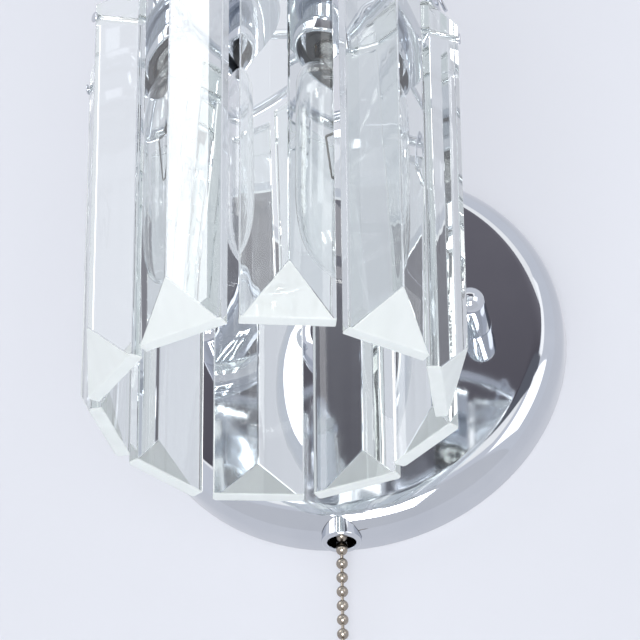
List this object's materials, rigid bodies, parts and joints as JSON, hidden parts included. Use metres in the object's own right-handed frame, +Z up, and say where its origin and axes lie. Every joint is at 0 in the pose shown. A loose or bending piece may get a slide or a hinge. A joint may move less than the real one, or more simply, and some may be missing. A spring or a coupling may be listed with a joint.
{
  "type": "crystal wall sconce",
  "caption": "Wall sconce with a round chromed wall plate, a bent arm and a ring of hanging bevelled crystal bars round one lamp, worked by a bead-chain pull switch.",
  "frame": {"origin": "middle of the wall bracket's back face, at the wall", "axes": "+X right and +Z up as seen from the room, +Y into the wall"},
  "size_m": [0.12, 0.1679, 0.2621],
  "materials": {
    "chrome": "polished chrome plate",
    "crystal": "cut and polished lead crystal",
    "bulb_glass": "clear blown glass",
    "filament_wire": "drawn wire",
    "nickel_chain": "nickel plate, slightly dull",
    "zinc_steel": "zinc-plated steel",
    "brass": "bright brass",
    "lamp_base_metal": "rolled aluminium",
    "white_insulator": "moulded white insulator",
    "black_insulator": "moulded black phenolic",
    "brown_sheath": "smooth sheath",
    "blue_sheath": "smooth sheath",
    "green_sheath": "smooth sheath"
  },
  "bodies": {
    "fixed": {"wall_bracket": "zinc_steel", "plate_studs": "zinc_steel", "earth_screw": "brass", "back_plate": "chrome", "cap_nuts": "chrome", "arm_tube": "chrome", "arm_flange": "chrome", "arm_washer": "zinc_steel", "arm_nut": "zinc_steel", "lamp_cup": "chrome", "cup_cap": "chrome", "lampholder": "black_insulator", "socket_shell": "brass", "centre_contact": "brass", "lamp_base": "lamp_base_metal", "lamp_glass": "bulb_glass", "lamp_stem": "bulb_glass", "lamp_filament": "filament_wire", "carrier_ring": "chrome", "lock_ring": "chrome", "lead_live": "brown_sheath", "lead_neutral": "blue_sheath", "lead_switched": "brown_sheath", "lead_earth": "green_sheath", "terminal_block": "white_insulator", "terminal_tubes": "brass", "terminal_screws": "zinc_steel", "block_screw": "zinc_steel", "collar": "chrome", "collar_nut": "zinc_steel", "switch_case": "white_insulator", "switch_lid": "white_insulator", "lever_pin": "zinc_steel", "return_spring": "zinc_steel", "switch_contacts": "brass"},
    "lever": {"switch_lever": "white_insulator"},
    "pull": {"chain_clip": "nickel_chain", "pull_chain": "nickel_chain", "pull_weight": "nickel_chain"},
    "crystal_01": {"prism_01": "crystal", "bail_01": "chrome"},
    "crystal_02": {"prism_02": "crystal", "bail_02": "chrome"},
    "crystal_03": {"prism_03": "crystal", "bail_03": "chrome"},
    "crystal_04": {"prism_04": "crystal", "bail_04": "chrome"},
    "crystal_05": {"prism_05": "crystal", "bail_05": "chrome"},
    "crystal_06": {"prism_06": "crystal", "bail_06": "chrome"},
    "crystal_07": {"prism_07": "crystal", "bail_07": "chrome"},
    "crystal_08": {"prism_08": "crystal", "bail_08": "chrome"},
    "crystal_09": {"prism_09": "crystal", "bail_09": "chrome"},
    "crystal_10": {"prism_10": "crystal", "bail_10": "chrome"}
  },
  "joints": [
    {"name": "pull_slide", "type": "slide", "parent": "fixed", "child": "pull", "axis": [0, 0, -1], "range_m": [0, 0.004], "stiffness_N_per_m": 300, "springref_m": -0.002, "deforming": ["return_spring"]},
    {"name": "lever_turn", "type": "hinge", "parent": "fixed", "child": "lever", "pos_m": [-0.011, -0.0064, -0.036], "axis": [0, 1, 0], "range_deg": [0, 28]},
    {"name": "crystal_01_swing", "type": "hinge", "parent": "fixed", "child": "crystal_01", "pos_m": [0.0117, -0.16107, 0.0285], "axis": [-0.9617, -0.274, 0], "range_deg": [-1.5, 60]},
    {"name": "crystal_02_swing", "type": "hinge", "parent": "fixed", "child": "crystal_02", "pos_m": [0.0336, -0.14635, 0.0285], "axis": [-0.617, -0.7869, 0], "range_deg": [-1.5, 60]},
    {"name": "crystal_03_swing", "type": "hinge", "parent": "fixed", "child": "crystal_03", "pos_m": [0.04267, -0.12157, 0.0285], "axis": [-0.0366, -0.9993, 0], "range_deg": [-1.5, 60]},
    {"name": "crystal_04_swing", "type": "hinge", "parent": "fixed", "child": "crystal_04", "pos_m": [0.03544, -0.09618, 0.0285], "axis": [0.5577, -0.83, 0], "range_deg": [-1.5, 60]},
    {"name": "crystal_05_swing", "type": "hinge", "parent": "fixed", "child": "crystal_05", "pos_m": [0.01467, -0.0799, 0.0285], "axis": [0.9391, -0.3437, 0], "range_deg": [-1.5, 30]},
    {"name": "crystal_06_swing", "type": "hinge", "parent": "fixed", "child": "crystal_06", "pos_m": [-0.0117, -0.07893, 0.0285], "axis": [0.9617, 0.274, 0], "range_deg": [-1.5, 30]},
    {"name": "crystal_07_swing", "type": "hinge", "parent": "fixed", "child": "crystal_07", "pos_m": [-0.0336, -0.09365, 0.0285], "axis": [0.617, 0.7869, 0], "range_deg": [-1.5, 60]},
    {"name": "crystal_08_swing", "type": "hinge", "parent": "fixed", "child": "crystal_08", "pos_m": [-0.04267, -0.11843, 0.0285], "axis": [0.0366, 0.9993, 0], "range_deg": [-1.5, 60]},
    {"name": "crystal_09_swing", "type": "hinge", "parent": "fixed", "child": "crystal_09", "pos_m": [-0.03544, -0.14382, 0.0285], "axis": [-0.5577, 0.83, 0], "range_deg": [-1.5, 60]},
    {"name": "crystal_10_swing", "type": "hinge", "parent": "fixed", "child": "crystal_10", "pos_m": [-0.01467, -0.1601, 0.0285], "axis": [-0.9391, 0.3437, 0], "range_deg": [-1.5, 60]}
  ],
  "couplings": [
    {"joint": "lever_turn", "follows": "pull_slide", "rad_per_m": 120}
  ]
}
